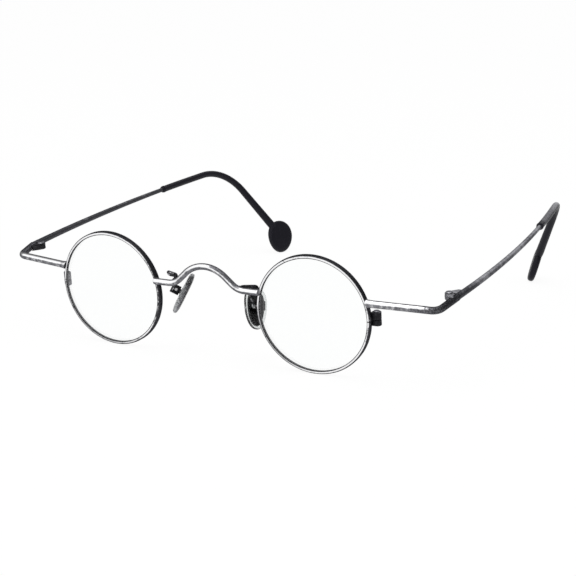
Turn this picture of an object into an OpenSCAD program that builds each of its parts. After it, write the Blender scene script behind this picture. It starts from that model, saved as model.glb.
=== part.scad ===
// Round wire eyeglasses standing open on a table, each separate piece a module of its own.
// Lengths are in millimetres and angles in degrees. +Z is up and the lenses face -Y.
// The origin is on the table, midway between the sides and midway from front to back.
// The pieces named right are on the wearer's right side, at -X.
// Everything is drawn for the +X side in a frame whose lens plane stands upright, mirrored
// for the other side, and then leaned forward until rims and temple tips rest on the table.

/* [Rims and lenses] */

// diameter of each lens, to the tip of its bevel
lens_d = 33; // [31:0.5:35]
// distance between the centres of the two lenses
lens_centre_distance = 65.7; // [64:0.1:70]
// thickness of a lens
lens_t = 1.5; // [1:0.1:1.8]
// radius of the front surface of a lens
lens_curve_r = 120; // [90:5:300]
// how far each lens is turned round towards its temple
wrap = 2.21; // [0:0.1:4]
// front to back depth of the rim wire
rim_depth = 1.9; // [1.7:0.1:2.6]
// thickness of the rim wire outside the groove
rim_wall = 0.52; // [0.4:0.02:1]
// how far the lens edge sits inside the rim's lips
groove_depth = 0.33; // [0.2:0.01:0.5]

/* [Bridge] */

// diameter of the bridge wire
bridge_wire_d = 1.85; // [1.4:0.05:2.1]
// height of the bridge's feet above the lens centres
bridge_foot_z = 4.5; // [3.5:0.1:5.5]
// rise of the bridge from its feet to its top
bridge_rise = 5.95; // [5.4:0.05:7]
// how much higher the left foot of the bridge stands, which has been bent up a little
left_foot_lift = 0.45; // [0:0.05:0.6]
// steepest slope of the bridge over its right foot
right_slope = 43; // [40:1:46]
// steepest slope of the bridge over its left foot
left_slope = 41; // [40:1:46]
// radius of the bend at the top of the bridge
bridge_top_r = 9.5; // [7:0.1:10]
// radius of the bend over each foot
bridge_foot_r = 5.7; // [3:0.1:6]
// distance of the bridge wire's centre line ahead of the lens plane
bridge_forward = 1.75; // [1.6:0.05:2]

/* [End pieces and hinges] */

// diameter of the end piece wire
end_piece_wire_d = 2.05; // [1.6:0.05:2.3]
// height of the end piece above the lens centre, where it leaves the rim
end_piece_z = 5.1; // [4.6:0.1:5.6]
// distance of the end piece's corner from the lens centre, to the side
corner_out = 35.25; // [34.5:0.05:37]
// radius of the bend at the corner
corner_r = 3; // [2.5:0.1:4]
// how much higher the right corner stands than a straight end piece would hold it
right_corner_lift = 0.35; // [0:0.05:0.5]
// how much lower the left corner stands than a straight end piece would hold it
left_corner_drop = 0.7; // [0:0.05:0.8]
// outer diameter of the hinge knuckles
knuckle_d = 2.5; // [2.3:0.1:2.7]
// height of each of the three knuckles
knuckle_h = 0.52; // [0.46:0.02:0.7]
// diameter of the hinge screw
hinge_screw_d = 1.2; // [1:0.05:1.3]
// outer diameter of the closing block
closing_block_d = 2.6; // [2.2:0.1:2.8]
// height of the upper half of the closing block
upper_block_h = 1.9; // [1.5:0.05:2.1]
// height of the lower half of the closing block
lower_block_h = 1.5; // [1.2:0.05:1.8]
// diameter of the closing screw
closing_screw_d = 1; // [0.8:0.05:1.2]

/* [Temples] */

// length of the temple from the hinge to the bend behind the ear
bar_l = 90.2; // [84:0.1:96]
// radius of the slight inward bow of the temple
bow_r = 420; // [380:10:600]
// diameter of the temple wire at the hinge
wire_hinge_d = 1.9; // [1.6:0.05:2]
// diameter of the temple wire where the sleeve begins
wire_sleeve_d = 1.35; // [1.3:0.05:1.6]
// diameter of the temple wire inside the sleeve
core_d = 1.1; // [0.8:0.05:1.2]
// distance of the front end of the sleeve from the hinge
sleeve_start = 68.5; // [60:0.5:74]
// diameter of the sleeve along the temple
sleeve_d = 2.1; // [1.75:0.05:2.3]
// diameter of the sleeve at its thickest, close to the paddle
sleeve_neck_d = 2.75; // [2.3:0.05:3]
// radius of the bend behind the ear
hook_r = 19; // [16:0.5:22]
// angle of the bend behind the ear
hook_angle = 61.3; // [56:0.1:66]
// angle by which the bent part leans in from straight down
hook_lean = 22; // [16:1:26]
// straight length from the bend to the paddle
neck_l = 17.9; // [14:0.1:20]
// length of the paddle
paddle_l = 11.5; // [10:0.1:13]
// width of the paddle
paddle_w = 10.3; // [9:0.1:11]
// thickness of the paddle
paddle_t = 2.4; // [2:0.05:2.6]
// angle from the neck to the paddle's long axis
paddle_turn = 51; // [40:1:60]

/* [Nose pads] */

// length of a nose pad
pad_l = 12.4; // [11:0.1:13]
// width of a nose pad
pad_w = 7.3; // [7:0.1:7.8]
// thickness of a nose pad
pad_t = 2; // [1.8:0.05:2]
// width of a nose pad's clear edge, round the metal plate inside it
pad_edge = 1; // [0.9:0.05:1.6]
// thickness of the metal plate inside a nose pad
plate_t = 0.7; // [0.5:0.05:0.8]
// distance of a nose pad's centre from the middle of the frame
pad_x = 12; // [11.5:0.1:12.5]
// distance of a nose pad's centre behind the lens plane
pad_y = 5.2; // [4.8:0.1:5.8]
// height of the nose pads above the lens centres, before each one's own lift
pad_z = -1.7; // [-2.2:0.1:-1.2]
// how much closer to the middle the left nose pad stands, which has been bent inwards a little
left_pad_shift = 0.2; // [0:0.1:0.6]
// own lift of the right nose pad, which has been bent up a little
right_pad_lift = 0.8; // [0:0.1:1]
// own lift of the left nose pad, which has been bent down a little
left_pad_lift = -0.8; // [-1:0.1:0]
// diameter of the pad arm wire
pad_arm_d = 0.9; // [0.7:0.05:1]
// diameter of the pad screw
pad_screw_d = 0.8; // [0.6:0.05:0.9]

/* [Clearances] */

// gap between a lens and the walls of its groove
lens_gap = 0.05; // [0.03:0.01:0.08]
// width of the split in a rim, and of the gap between the halves of its closing block
rim_split = 0.3; // [0.2:0.05:0.4]
// radial gap between a screw and the piece that turns on it
turning_gap = 0.04; // [0.03:0.005:0.06]
// radial gap between a screw and the piece that it is screwed into
thread_gap = 0.01; // [0.005:0.005:0.02]
// height of the gap between neighbouring knuckles
knuckle_gap = 0.05; // [0.04:0.005:0.08]
// gap between the end piece and the open temple
butt_gap = 0.2; // [0.1:0.05:0.3]

/* [Hidden] */

right = -1;
left = 1;

// vectors and paths

// v made one unit long
function unit(v) = v / norm(v);

// the part of u that is square to the direction t, one unit long
function across(u, t) = unit(u - t * (u * t));

// points of the bend of radius r that replaces a corner
function corner_arc(before, corner, after, r, steps) =
  let (a = unit(corner - before))
  let (b = unit(after - corner))
  let (turn = acos(a * b))
  let (m = across(b, a))
  let (centre = corner - a * r * tan(turn / 2) + m * r)
  [for (i = [0 : steps]) centre + r * (a * sin(turn * i / steps) - m * cos(turn * i / steps))];

// the line through the points p, its inner corners bent to the radii r
function rounded(p, r, steps) = concat(
  [p[0]],
  [for (i = [1 : len(p) - 2]) each corner_arc(p[i - 1], p[i], p[i + 1], r[i - 1], steps)],
  [p[len(p) - 1]]
);

// direction of the line p at its point i
function along(p, i) =
  let (before = p[max(i - 1, 0)])
  let (here = p[i])
  let (after = p[min(i + 1, len(p) - 1)])
  let (came = i > 0 ? unit(here - before) : [0, 0, 0])
  let (goes = i < len(p) - 1 ? unit(after - here) : [0, 0, 0])
  unit(came + goes);

// side directions carried along the line p without twisting
function sideways(p) = [
  for (i = 0, u = across([0.3, 0.2, 1], along(p, 0));
    i < len(p);
    i = i + 1, u = i < len(p) ? across(u, along(p, i)) : u)
  u
];

// a circle of points round the centre c, in the plane of u and v
function ring(c, u, v, r, sides) =
  [for (j = [0 : sides - 1]) c + r * (cos(360 * j / sides) * u + sin(360 * j / sides) * v)];

// a closed solid through a row of rings that all have the same number of points
module skin(rings) {
  sides = len(rings[0]);
  last = len(rings) - 1;
  lower = [
    for (i = [0 : last - 1], j = [0 : sides - 1])
      [i * sides + j, (i + 1) * sides + (j + 1) % sides, i * sides + (j + 1) % sides]
  ];
  upper = [
    for (i = [0 : last - 1], j = [0 : sides - 1])
      [i * sides + j, (i + 1) * sides + j, (i + 1) * sides + (j + 1) % sides]
  ];
  first_cap = [for (j = [0 : sides - 1]) j];
  last_cap = [for (j = [sides - 1 : -1 : 0]) last * sides + j];
  polyhedron([for (r = rings) each r], concat(lower, upper, [first_cap, last_cap]), convexity = 8);
}

// a round wire along the corner points p, each inner corner bent to its radius in bends
module bent_wire(p, bends, wire_r, steps, sides, bevel) {
  path = rounded(p, bends, steps);
  near_start = path[0] + bevel * unit(path[1] - path[0]);
  n = len(path);
  near_end = path[n - 1] + bevel * unit(path[n - 2] - path[n - 1]);
  middle = [for (i = [1 : n - 2]) path[i]];
  line = bevel > 0 ? concat([path[0], near_start], middle, [near_end, path[n - 1]]) : path;
  u = sideways(line);
  last = len(line) - 1;
  skin([
    for (i = [0 : last])
      let (r = i == 0 || i == last ? wire_r - bevel * 0.7 : wire_r)
      ring(line[i], u[i], cross(along(line, i), u[i]), r, sides)
  ]);
}

// frames

// one half of the frame, drawn on the +X side
module on_side(side) {
  if (side < 0) {
    mirror([1, 0, 0]) children();
  } else {
    children();
  }
}

lens_x = lens_centre_distance / 2;
corner_x = lens_x + corner_out;
groove_r = lens_d / 2 + lens_gap;
rim_outer_r = groove_r + rim_wall;
lip_r = groove_r - groove_depth;
rim_bevel = 0.2;

// centre of the +X lens, its axis along Y, turned round by the wrap
module in_rim() {
  translate([lens_x, 0, 0]) rotate([0, 0, wrap]) children();
}

// the space inside the outer edge of the +X rim
module rim_space(depth) {
  in_rim() rotate([90, 0, 0]) cylinder(r = rim_outer_r, h = depth, center = true, $fn = 180);
}

// temple centre line: a long bow, the bend behind the ear and a straight neck

bar_start = [corner_x + 1.9, 12.5, end_piece_z + 0.39];
splay = 2.53;
droop = 0.75;
bar_t = [sin(splay) * cos(droop), cos(splay) * cos(droop), -sin(droop)];
bar_n = [-cos(splay), sin(splay), 0];
bar_angle = bar_l / bow_r * 180 / PI;
hook_l = hook_r * hook_angle * PI / 180;
tube_l = bar_l + hook_l + neck_l;

// direction, side and up along the bow at the angle a
function bow_t(a) = cos(a) * bar_t + sin(a) * bar_n;
function bow_n(a) = cos(a) * bar_n - sin(a) * bar_t;
function bow_point(a) = bar_start + bow_r * (sin(a) * bar_t + (1 - cos(a)) * bar_n);

hook_start = bow_point(bar_angle);
hook_t = bow_t(bar_angle);
hook_n = bow_n(bar_angle);
hook_up = cross(hook_t, hook_n);
hook_c = sin(hook_lean) * hook_n - cos(hook_lean) * hook_up;
hook_axis = cross(hook_t, hook_c);

// direction and inward direction along the bend at the angle a
function bend_t(a) = cos(a) * hook_t + sin(a) * hook_c;
function bend_c(a) = cos(a) * hook_c - sin(a) * hook_t;
function bend_point(a) = hook_start + hook_r * (sin(a) * hook_t + (1 - cos(a)) * hook_c);

neck_start = bend_point(hook_angle);
neck_t = bend_t(hook_angle);
neck_c = bend_c(hook_angle);
neck_end = neck_start + neck_l * neck_t;

// ring of radius r round the temple's centre line at the length s from the hinge
function temple_ring(s, r, sides) =
  s <= bar_l
    ? let (a = s / bow_r * 180 / PI)
      ring(bow_point(a), bow_n(a), cross(bow_t(a), bow_n(a)), r, sides)
    : let (a = min((s - bar_l) / hook_r * 180 / PI, hook_angle))
      let (c = bend_c(a))
      let (rest = max(s - bar_l - hook_l, 0))
      ring(
        bend_point(a) + rest * bend_t(a),
        sin(hook_lean) * c + cos(hook_lean) * hook_axis,
        sin(hook_lean) * hook_axis - cos(hook_lean) * c,
        r, sides);

// lengths at which the sleeve's and the core's rings stand
sleeve_rings = concat(
  [for (i = [0 : 5]) sleeve_start + 1.6 + (bar_l - sleeve_start - 1.6) * i / 5],
  [for (i = [1 : 13]) bar_l + hook_l * i / 13],
  [for (i = [1 : 3]) bar_l + hook_l + (neck_l - 5) * i / 3]
);
tube_sides = 18;

// paddle frame: origin at its middle, the long axis hanging down, its normal turned inwards
paddle_reach = 5.2;
paddle_twist = 8.9;
paddle_n = cos(paddle_twist) * hook_axis + sin(paddle_twist) * neck_c;
paddle_across = cross(paddle_n, neck_t);
paddle_long = cos(paddle_turn) * neck_t + sin(paddle_turn) * paddle_across;
paddle_wide = cross(paddle_n, paddle_long);
paddle_centre = neck_end + paddle_reach * neck_t + 0.6 * paddle_wide;

// the paddle's farthest point in the direction d
function paddle_end(d) =
  let (a = paddle_l / 2 * paddle_long)
  let (b = paddle_w / 2 * paddle_wide)
  paddle_centre + (a * (a * d) + b * (b * d)) / sqrt(pow(a * d, 2) + pow(b * d, 2));

// how far the frame leans forward when it rests on its rims and on the temple tips
tip = paddle_end([0, 0, -1]);
rest_tilt = atan2(-rim_outer_r - tip[2], tip[1] - rim_depth / 2 + rim_bevel);
rest_up = [0, sin(rest_tilt), cos(rest_tilt)];
rest_back = [0, cos(rest_tilt), -sin(rest_tilt)];
lens_z = rim_outer_r * rest_up[2] + (rim_depth / 2 - rim_bevel) * rest_up[1];
bridge_top = bridge_foot_z + bridge_rise;
front_y = -(bridge_forward + bridge_wire_d / 2) * rest_back[1] + bridge_top * rest_back[2];
back_y = paddle_end(rest_back) * rest_back;
middle_y = (front_y + back_y) / 2;

// stands the drawn frame on the table
module standing() {
  translate([0, -middle_y, lens_z]) rotate([rest_tilt, 0, 0]) children();
}

module placed(side) {
  standing() on_side(side) children();
}

// rims and lenses

// half angle of the lens edge and of the groove
edge_half = groove_depth * 1.15;

module rim(side) {
  half = rim_depth / 2;
  color([0.74, 0.74, 0.75]) placed(side) in_rim() difference() {
    rotate([90, 0, 0]) rotate_extrude($fn = 180) polygon([
      [lip_r, -half + rim_bevel],
      [lip_r + rim_bevel, -half],
      [rim_outer_r - rim_bevel, -half],
      [rim_outer_r, -half + rim_bevel],
      [rim_outer_r, half - rim_bevel],
      [rim_outer_r - rim_bevel, half],
      [lip_r + rim_bevel, half],
      [lip_r, half - rim_bevel],
      [lip_r, edge_half],
      [groove_r, 0],
      [lip_r, -edge_half]
    ]);
    translate([lip_r - 1, -rim_depth, -rim_split / 2]) cube([3, 2 * rim_depth, rim_split]);
  }
}

module lens(side) {
  edge_r = lens_d / 2;
  inner_r = lip_r - lens_gap;
  bevel_half = (edge_r - inner_r) * 1.15;
  sag = lens_curve_r - sqrt(pow(lens_curve_r, 2) - pow(edge_r, 2));
  front = -lens_t / 2 - sag;
  back_r = lens_curve_r - lens_t;
  color([0.85, 0.92, 0.95, 0.25]) placed(side) in_rim() rotate([90, 0, 0]) difference() {
    intersection() {
      rotate_extrude($fn = 180) polygon([
        [0, -lens_t],
        [inner_r, -lens_t],
        [inner_r, -bevel_half],
        [edge_r, 0],
        [inner_r, bevel_half],
        [inner_r, 4],
        [0, 4]
      ]);
      translate([0, 0, -front - lens_curve_r]) sphere(r = lens_curve_r, $fn = 180);
    }
    translate([0, 0, -front - lens_curve_r]) sphere(r = back_r, $fn = 180);
  }
}

// bridge, one bent wire lapped over the front of both rims

// height at which the two slopes of the bridge would meet
slope_top = bridge_foot_z + bridge_rise - bridge_top_r + bridge_top_r / cos(right_slope);

module bridge_wire() {
  right_x = (slope_top - bridge_foot_z) / tan(right_slope);
  left_x = (slope_top - bridge_foot_z - left_foot_lift) / tan(left_slope);
  end_x = lens_x - sqrt(pow(lip_r, 2) - pow(bridge_foot_z, 2)) - 0.05;
  y = -bridge_forward;
  left_z = bridge_foot_z + left_foot_lift;
  bent_wire(
    [
      [-end_x, y, bridge_foot_z],
      [-right_x, y, bridge_foot_z],
      [0, y, slope_top],
      [left_x, y, left_z],
      [end_x, y, left_z]
    ],
    [bridge_foot_r, bridge_top_r, bridge_foot_r],
    bridge_wire_d / 2, 10, 24, 0.35);
}

module bridge() {
  color([0.72, 0.72, 0.73]) standing() difference() {
    bridge_wire();
    for (side = [right, left]) on_side(side) rim_space(rim_depth);
  }
}

// end pieces and hinges

function corner_rise(side) = side < 0 ? right_corner_lift : -left_corner_drop;
function corner(side) = [corner_x, 3.6, end_piece_z - 0.3 + corner_rise(side)];
end_piece_start = [lens_x + sqrt(pow(rim_outer_r, 2) - pow(end_piece_z, 2)) - 0.6, 0.1, end_piece_z];
end_piece_end = bar_start + [0.1, 1, 0];
hinge_x = bar_start[0] - 2.55;
hinge_y = bar_start[1] + 0.3;
hinge_h = 3 * knuckle_h + 2 * knuckle_gap;
hinge_z = end_piece_z + 0.25;
leaf_gap = 0.15;
leaf_l = 3.4;
cut = 30; // size of the boxes that cut the wires and leaves

module end_piece_wire(side) {
  bent_wire([end_piece_start, corner(side), end_piece_end], [corner_r], end_piece_wire_d / 2, 10, 24, 0);
}

module end_piece(side) {
  color([0.7, 0.7, 0.71]) placed(side) difference() {
    end_piece_wire(side);
    rim_space(rim_depth + 4);
    translate([corner_x - 4, bar_start[1] - butt_gap, -cut / 2]) cube(cut);
  }
}

// the middle of the hinge axis
module at_hinge() {
  translate([hinge_x, hinge_y, hinge_z]) children();
}

// a flat leaf that ties a knuckle to the wire, seen from above, its knuckle at the origin
module leaf(z, h) {
  r = knuckle_d / 2;
  translate([0, 0, z]) linear_extrude(h)
    polygon([[-r, 0], [-r * 0.8, r * 0.72], [1.3, leaf_l], [2.4, leaf_l], [2.6, 0.2], [0.5, 0]]);
}

module hinge_front(side) {
  r = knuckle_d / 2;
  color([0.25, 0.25, 0.27]) placed(side) difference() {
    at_hinge() difference() {
      union() {
        cylinder(r = r, h = knuckle_h, center = true, $fn = 64);
        mirror([0, 1, 0]) leaf(-knuckle_h / 2, knuckle_h);
        difference() {
          mirror([0, 1, 0]) leaf(-hinge_h / 2, hinge_h);
          cylinder(r = r + leaf_gap, h = 2 * hinge_h, center = true, $fn = 64);
        }
      }
      cylinder(r = hinge_screw_d / 2 + turning_gap, h = 2, center = true, $fn = 48);
    }
    end_piece_wire(side);
    translate([hinge_x + r, bar_start[1] - butt_gap, -cut / 2]) cube(cut);
  }
}

module temple_hinge(side) {
  r = knuckle_d / 2;
  inner = knuckle_h / 2 + knuckle_gap;
  color([0.25, 0.25, 0.27]) placed(side) difference() {
    at_hinge() difference() {
      union() {
        for (z = [-hinge_h / 2, inner]) {
          translate([0, 0, z]) cylinder(r = r, h = knuckle_h, $fn = 64);
          leaf(z, knuckle_h);
        }
        difference() {
          leaf(-hinge_h / 2, hinge_h);
          cylinder(r = r + leaf_gap, h = 2 * hinge_h, center = true, $fn = 64);
        }
      }
      cylinder(r = hinge_screw_d / 2 + thread_gap, h = 2 * hinge_h, center = true, $fn = 48);
    }
    temple_wire();
    translate([hinge_x + r, hinge_y + 0.2 - cut, -cut / 2]) cube(cut);
  }
}

// a screw with a slotted head, its head's underside at the origin
module screw(shank_d, shank_l, head_d, head_h, slot_w) {
  translate([0, 0, -shank_l]) cylinder(d = shank_d, h = shank_l + 0.1, $fn = 48);
  difference() {
    union() {
      cylinder(d = head_d, h = head_h * 0.7, $fn = 64);
      translate([0, 0, head_h * 0.7]) cylinder(d1 = head_d, d2 = head_d - 0.3, h = head_h * 0.3, $fn = 64);
    }
    translate([-head_d, -slot_w / 2, head_h * 0.5]) cube([2 * head_d, slot_w, head_h]);
  }
}

module hinge_screw(side) {
  color([0.45, 0.45, 0.46]) placed(side) at_hinge()
    translate([0, 0, hinge_h / 2]) screw(hinge_screw_d, hinge_h, 2, 0.35, 0.3);
}

// closing blocks, which clamp the split rims round the lenses

block_x = lens_x + rim_outer_r + 0.66;
block_y = 2.8;
upper_z = rim_split / 2;
lower_z = -rim_split / 2 - lower_block_h;

module closing_block(side, from_z, h) {
  foot_x = lens_x + lip_r + 0.2;
  color([0.35, 0.35, 0.37]) placed(side) difference() {
    union() {
      translate([block_x, block_y, from_z]) cylinder(d = closing_block_d, h = h, $fn = 64);
      translate([foot_x, 0, from_z]) cube([block_x - foot_x, block_y, h]);
    }
    in_rim() translate([rim_outer_r - 4, -5, -5]) cube([8, 5 + rim_depth / 2, 10]);
    translate([block_x, block_y, -5]) cylinder(r = closing_screw_d / 2 + thread_gap, h = 10, $fn = 48);
  }
}

module closing_screw(side) {
  color([0.5, 0.5, 0.51]) placed(side)
    translate([block_x, block_y, upper_z + upper_block_h])
      screw(closing_screw_d, upper_block_h + rim_split + lower_block_h, 1.8, 0.4, 0.3);
}

// nose pads, each on a bent wire arm

pad_turn = [-23.7, -28.9, -22.5];
pad_back = [cos(pad_turn[2]) * cos(pad_turn[1]), sin(pad_turn[2]) * cos(pad_turn[1]), -sin(pad_turn[1])];
pad_wide = [
  cos(pad_turn[2]) * sin(pad_turn[1]) * sin(pad_turn[0]) - sin(pad_turn[2]) * cos(pad_turn[0]),
  sin(pad_turn[2]) * sin(pad_turn[1]) * sin(pad_turn[0]) + cos(pad_turn[2]) * cos(pad_turn[0]),
  cos(pad_turn[1]) * sin(pad_turn[0])
];
pad_long = cross(pad_back, pad_wide);
pad_axis_x = 2.45;
box_w = 2.2;
box_l = 2.6;
box_front = 1.3;
box_back = 3.9;
lug_t = 0.9;
lug_r = 0.7;

function pad_lift(side) = side < 0 ? right_pad_lift : left_pad_lift;
function pad_shift(side) = side < 0 ? 0 : left_pad_shift;
function pad_centre(side) = [pad_x - pad_shift(side), pad_y, pad_z + pad_lift(side)];
function pad_point(side, p) = pad_centre(side) + p[0] * pad_back + p[1] * pad_wide + p[2] * pad_long;

// middle of a nose pad, +X towards its box and +Z along its length
module in_pad(side) {
  translate(pad_centre(side)) rotate(pad_turn) children();
}

// the outside of the pad box
module pad_box_block() {
  translate([box_front, -box_w / 2, -box_l / 2]) cube([box_back - box_front, box_w, box_l]);
}

module pad_box(side) {
  slot = lug_t / 2 + 0.06;
  color([0.35, 0.35, 0.36]) placed(side) in_pad(side) difference() {
    pad_box_block();
    translate([box_front - 1, -slot, -box_l])
      cube([pad_axis_x + lug_r + 0.12 - box_front + 1, 2 * slot, 2 * box_l]);
    translate([pad_axis_x, 0, 0]) rotate([90, 0, 0])
      cylinder(r = pad_screw_d / 2 + thread_gap, h = 2 * box_w, center = true, $fn = 48);
  }
}

module pad_screw(side) {
  color([0.5, 0.5, 0.5]) placed(side) in_pad(side)
    translate([pad_axis_x, box_w / 2, 0]) rotate([-90, 0, 0]) screw(pad_screw_d, box_w, 1.5, 0.4, 0.25);
}

// the arm starts on the back of the bridge, loops out above its foot and comes down to the box
module pad_arm(side) {
  loop_z = bridge_foot_z - 0.25 + 0.65 * pad_lift(side);
  root_z = bridge_foot_z + (side < 0 ? 0.55 : left_foot_lift + 0.4);
  loop_x = side < 0 ? 14.2 : 14.7;
  color([0.62, 0.62, 0.63]) standing() difference() {
    on_side(side) difference() {
      bent_wire(
        [
          [10.6, -1.35, root_z],
          [10.7, 0.3, loop_z + 1.65],
          [loop_x, 1.2, loop_z + 1.9],
          [loop_x, 2, loop_z + 0.75],
          [11.1, 2.4, loop_z + 0.4],
          pad_point(side, [3.4, -2.4, -0.5]),
          pad_point(side, [3.4, -0.9, -0.3])
        ],
        [0.7, 0.6, 0.6, 0.9, 0.7],
        pad_arm_d / 2, 6, 14, 0);
      in_pad(side) pad_box_block();
    }
    bridge_wire();
  }
}

// c raised to a power without losing its sign
function eased(c, power) = sign(c) * pow(abs(c), power);

// outline of a blunt egg of the given length and width, its narrow end downwards
function egg(l, w, k, x, sides) = [
  for (j = [0 : sides - 1])
    let (a = 360 * j / sides)
    [x, k * w / 2 * eased(sin(a), 0.85) * (1 + 0.2 * cos(a)), k * l / 2 * eased(cos(a), 0.85)]
];

// the pad's metal plate with the lug that turns in the box
module insert_body() {
  rotate([90, 0, 90]) linear_extrude(plate_t, center = true)
    polygon([for (p = egg(pad_l - 2 * pad_edge, pad_w - 2 * pad_edge, 1, 0, 40)) [p[1], p[2]]]);
  translate([0, -lug_t / 2, -lug_r]) cube([pad_axis_x, lug_t, 2 * lug_r]);
  translate([pad_axis_x, 0, 0]) rotate([90, 0, 0]) cylinder(r = lug_r, h = lug_t, center = true, $fn = 48);
}

module pad_insert(side) {
  color([0.6, 0.6, 0.58]) placed(side) in_pad(side) difference() {
    insert_body();
    translate([pad_axis_x, 0, 0]) rotate([90, 0, 0])
      cylinder(r = pad_screw_d / 2 + turning_gap, h = 2, center = true, $fn = 48);
  }
}

module nose_pad(side) {
  rows = 12;
  color([0.8, 0.82, 0.83, 0.6]) placed(side) in_pad(side) difference() {
    skin([
      for (i = [0 : rows])
        let (a = 4 + 172 * i / rows)
        let (x = -cos(a) * (abs(cos(a)) > 0.01 ? pow(abs(cos(a)), -0.45) : 0))
        egg(pad_l, pad_w, pow(sin(a), 0.55), x * pad_t / 2, 32)
    ]);
    insert_body();
  }
}

// temples

module temple_wire() {
  skin(concat(
    [
      for (i = [0 : 10])
        let (s = sleeve_start * i / 10)
        temple_ring(s, (wire_hinge_d + (wire_sleeve_d - wire_hinge_d) * i / 10) / 2, tube_sides)
    ],
    [for (s = concat([sleeve_start + 0.02], sleeve_rings)) temple_ring(s, core_d / 2, tube_sides)]
  ));
}

module temple(side) {
  color([0.4, 0.4, 0.42]) placed(side) temple_wire();
}

// the paddle's outline carried into its place, k its size and d its distance from the middle
function paddle_ring(k, d, sides) = [
  for (j = [0 : sides - 1])
    let (a = 360 * j / sides)
    paddle_centre + d * paddle_n + k * paddle_l / 2 * cos(a) * paddle_long
      + k * paddle_w / 2 * sin(a) * (1 - 0.1 * cos(a)) * paddle_wide
];

module temple_tip(side) {
  bore_r = core_d / 2 + 0.03;
  bore_end = tube_l - 4.7;
  inner = [for (i = [len(sleeve_rings) - 1 : -1 : 0]) temple_ring(sleeve_rings[i], bore_r, tube_sides)];
  slim = sleeve_d / 2;
  outer = [
    for (s = sleeve_rings)
      let (k = max(0, (s - bar_l) / (hook_l + neck_l)))
      temple_ring(s, slim + (sleeve_neck_d / 2 - slim) * pow(k, 1.4), tube_sides)
  ];
  t = paddle_t / 2;
  color([0.13, 0.13, 0.15]) placed(side) union() {
    skin(concat(
      [temple_ring(bore_end, bore_r, tube_sides)],
      inner,
      [temple_ring(sleeve_start + 0.06, bore_r, tube_sides)],
      [temple_ring(sleeve_start + 0.06, wire_sleeve_d / 2 + 0.1, tube_sides)],
      [temple_ring(sleeve_start + 0.5, slim * 0.88, tube_sides)],
      outer,
      [temple_ring(tube_l, sleeve_neck_d / 2 - 0.05, tube_sides)],
      [temple_ring(tube_l + 3.5, t * 0.8, tube_sides)]
    ));
    skin([
      paddle_ring(0.88, -t, 36),
      paddle_ring(0.95, -t * 0.9, 36),
      paddle_ring(0.99, -t * 0.55, 36),
      paddle_ring(1, 0, 36),
      paddle_ring(0.99, t * 0.55, 36),
      paddle_ring(0.95, t * 0.9, 36),
      paddle_ring(0.88, t, 36)
    ]);
  }
}

rim(right);  // right_rim
rim(left);  // left_rim
lens(right);  // right_lens
lens(left);  // left_lens
bridge();
end_piece(right);  // right_end_piece
end_piece(left);  // left_end_piece
hinge_front(right);  // right_hinge_front
hinge_front(left);  // left_hinge_front
closing_block(right, upper_z, upper_block_h);  // right_closing_block_upper
closing_block(left, upper_z, upper_block_h);  // left_closing_block_upper
closing_block(right, lower_z, lower_block_h);  // right_closing_block_lower
closing_block(left, lower_z, lower_block_h);  // left_closing_block_lower
closing_screw(right);  // right_closing_screw
closing_screw(left);  // left_closing_screw
pad_arm(right);  // right_pad_arm
pad_arm(left);  // left_pad_arm
pad_box(right);  // right_pad_box
pad_box(left);  // left_pad_box
pad_screw(right);  // right_pad_screw
pad_screw(left);  // left_pad_screw
pad_insert(right);  // right_pad_insert
pad_insert(left);  // left_pad_insert
nose_pad(right);  // right_nose_pad
nose_pad(left);  // left_nose_pad
temple_hinge(right);  // right_temple_hinge
temple_hinge(left);  // left_temple_hinge
hinge_screw(right);  // right_hinge_screw
hinge_screw(left);  // left_hinge_screw
temple(right);  // right_temple
temple(left);  // left_temple
temple_tip(right);  // right_temple_tip
temple_tip(left);  // left_temple_tip
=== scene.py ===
import math

import bmesh
import bpy
import numpy as np
from mathutils import Matrix


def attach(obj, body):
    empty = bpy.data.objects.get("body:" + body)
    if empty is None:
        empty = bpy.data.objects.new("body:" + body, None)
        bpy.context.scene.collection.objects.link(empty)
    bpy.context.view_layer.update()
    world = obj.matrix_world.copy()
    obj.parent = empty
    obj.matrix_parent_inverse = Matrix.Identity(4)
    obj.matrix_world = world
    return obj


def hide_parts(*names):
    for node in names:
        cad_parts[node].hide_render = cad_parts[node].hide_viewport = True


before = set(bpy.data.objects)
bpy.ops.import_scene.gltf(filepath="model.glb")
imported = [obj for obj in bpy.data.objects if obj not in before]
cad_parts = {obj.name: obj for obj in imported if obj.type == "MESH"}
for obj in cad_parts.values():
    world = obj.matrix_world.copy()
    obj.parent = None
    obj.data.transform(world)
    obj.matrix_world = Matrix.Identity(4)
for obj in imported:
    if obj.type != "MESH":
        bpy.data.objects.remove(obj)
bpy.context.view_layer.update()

print("frame loaded with", len(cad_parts), "nodes")

mm = 0.001  # sizes below are in millimetres, meshes are in metres
nearest = 0.001 * mm
sides = {"right": -1, "left": 1}  # the wearer's sides; right is at -X


def unit(v):
    # a direction, or each of several, made 1 long
    return v / np.linalg.norm(v, axis=-1, keepdims=True)


def smoothStep(x, low, high):
    # 0 below low, 1 above high, 3t^2 - 2t^3 between them
    t = np.clip((x - low) / (high - low), 0, 1)
    return t * t * (3 - 2 * t)


def turning(axis, degrees):
    # matrix of a turn by degrees about x (0), y (1) or z (2)
    c, s = math.cos(math.radians(degrees)), math.sin(math.radians(degrees))
    a, b = (axis + 1) % 3, (axis + 2) % 3
    m = np.eye(3)
    m[a, a], m[a, b], m[b, a], m[b, b] = c, -s, s, c
    return m


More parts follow.
